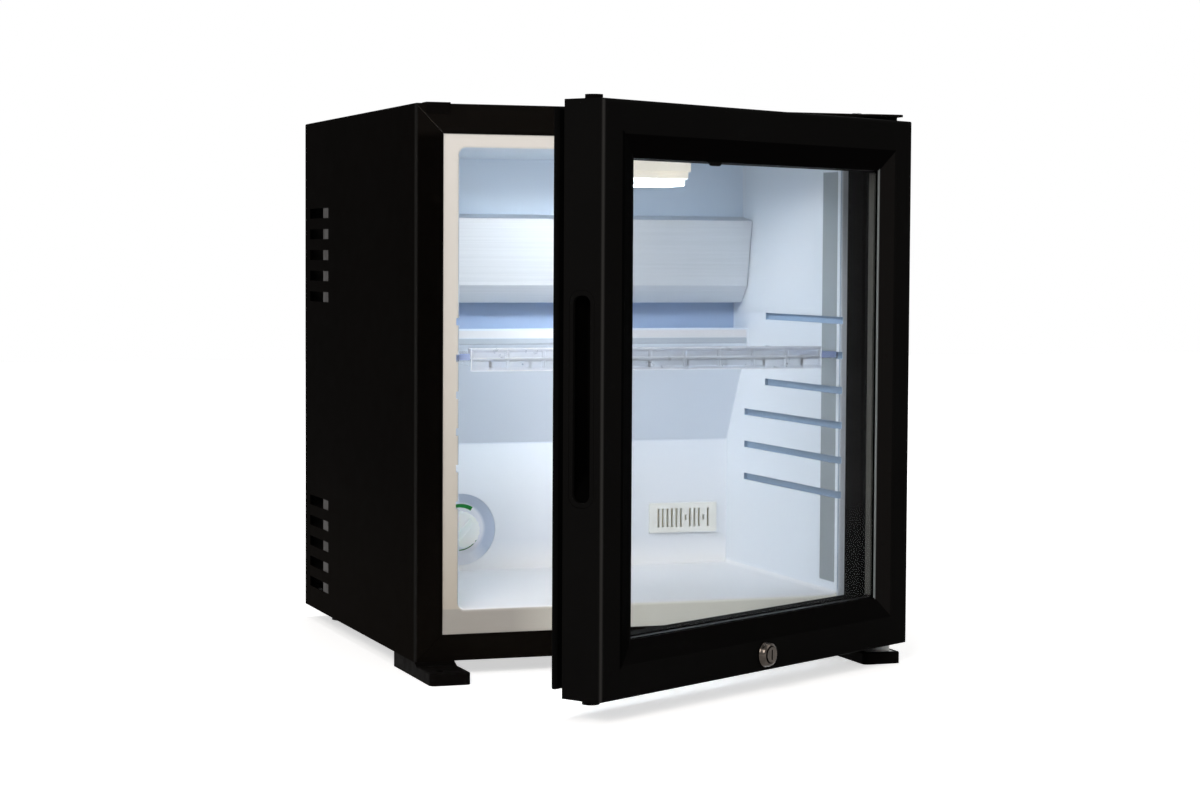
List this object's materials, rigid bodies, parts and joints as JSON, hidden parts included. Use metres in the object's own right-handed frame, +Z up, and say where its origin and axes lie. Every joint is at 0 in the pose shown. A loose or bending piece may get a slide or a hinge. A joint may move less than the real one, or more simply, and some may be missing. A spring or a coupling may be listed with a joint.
{
  "type": "minibar fridge",
  "caption": "Compact hotel minibar with a steel cabinet, a framed glass door hinged on the right, a moulded liner, a clear shelf and an absorption cooling unit.",
  "frame": {"origin": "on the floor under the middle of the cabinet body, in the plane of the feet", "axes": "+Z up, -Y out of the front of the cabinet towards the user, +X to the user's right, the hinge side"},
  "size_m": [0.4085, 0.63, 0.4539],
  "materials": {
    "black_steel": "satin black powder coat",
    "galvanised": "dark grey coated sheet",
    "zinc_fittings": "bright zinc plated",
    "liner_white": "moulded polystyrene, semi gloss",
    "foam": "rigid foam",
    "cold_aluminium": "anodised sheet",
    "unit_tube": "black enamelled steel tube",
    "fins": "black enamelled steel fins",
    "boiler_case": "zinc plated case",
    "black_plastic": "moulded, fine grain",
    "grey_plastic": "moulded",
    "cream_plastic": "moulded, satin",
    "lens": "opal diffuser, glowing",
    "led_board": "white solder mask with white diodes",
    "knob": "moulded, satin",
    "clear_shelf": "clear moulded polystyrene",
    "door_frame": "satin black powder coat on aluminium",
    "tinted_glass": "lightly tinted toughened glass",
    "clear_glass": "clear toughened glass",
    "spacer": "mill finish",
    "gasket": "soft black vinyl",
    "chrome": "polished chrome plate",
    "nylon": "natural nylon",
    "foot_rubber": "black rubber"
  },
  "bodies": {
    "cabinet": {"cabinet_wrapper": "black_steel", "floor_panel": "black_steel", "lock_keeper": "black_steel", "rear_grille": "black_steel", "back_sheet": "galvanised", "top_hinge_plate": "zinc_fittings", "lower_hinge_plate": "zinc_fittings", "hinge_pins": "zinc_fittings", "inner_liner": "liner_white", "insulation_foam": "foam", "evaporator_plate": "cold_aluminium", "evaporator_block": "cold_aluminium", "evaporator_tube": "unit_tube", "absorber_vessel": "unit_tube", "absorber_coil": "unit_tube", "vapour_pipe": "unit_tube", "condenser_fins": "fins", "boiler_case": "boiler_case", "base_screws": "boiler_case", "top_hinge_screws": "boiler_case", "grille_screws": "boiler_case", "blank_hinge_cover": "black_plastic", "left_front_foot": "black_plastic", "right_front_foot": "black_plastic", "top_hinge_packing": "black_plastic", "control_box": "black_plastic", "mains_inlet": "black_plastic", "grille_blocks": "black_plastic", "thermostat_body": "grey_plastic", "lamp_housing": "cream_plastic", "sensor_grille": "cream_plastic", "gutter_drain": "cream_plastic", "lamp_lens": "lens", "led_board": "led_board", "dial_ring": "knob", "hinge_washer": "nylon", "rear_feet": "foot_rubber"},
    "door": {"door_free_stile": "door_frame", "door_hinge_stile": "door_frame", "door_top_rail": "door_frame", "door_bottom_rail": "door_frame", "door_corner_keys": "grey_plastic", "outer_pane": "tinted_glass", "pane_spacer": "spacer", "inner_pane": "clear_glass", "glazing_beads": "door_frame", "door_gasket": "gasket", "handle_cup": "black_plastic", "hinge_bushes": "black_plastic", "hinge_hole_plugs": "black_plastic", "glass_tab": "black_plastic", "lock_body": "chrome", "lock_nut": "zinc_fittings"},
    "lock": {"lock_plug": "chrome", "lock_cam": "zinc_fittings", "lock_cam_screw": "zinc_fittings"},
    "knob": {"thermostat_knob": "knob"},
    "shelf": {"shelf_panel": "clear_shelf", "shelf_front_rail": "clear_shelf"}
  },
  "joints": [
    {"name": "door_hinge", "type": "hinge", "parent": "cabinet", "child": "door", "pos_m": [0.19, -0.22155, 0.2], "axis": [0, 0, 1], "range_deg": [-31.5, 88.5]},
    {"name": "lock_turn", "type": "hinge", "parent": "door", "child": "lock", "pos_m": [0.0374, -0.33617, 0.0293], "axis": [0.5225, -0.8526, 0], "range_deg": [0, 90]},
    {"name": "thermostat_turn", "type": "hinge", "parent": "cabinet", "child": "knob", "pos_m": [-0.09, 0.05175, 0.09], "axis": [0, -1, 0], "range_deg": [-270, 0]},
    {"name": "shelf_slide", "type": "slide", "parent": "cabinet", "child": "shelf", "axis": [0, -1, 0], "range_m": [0, 0.015]}
  ]
}
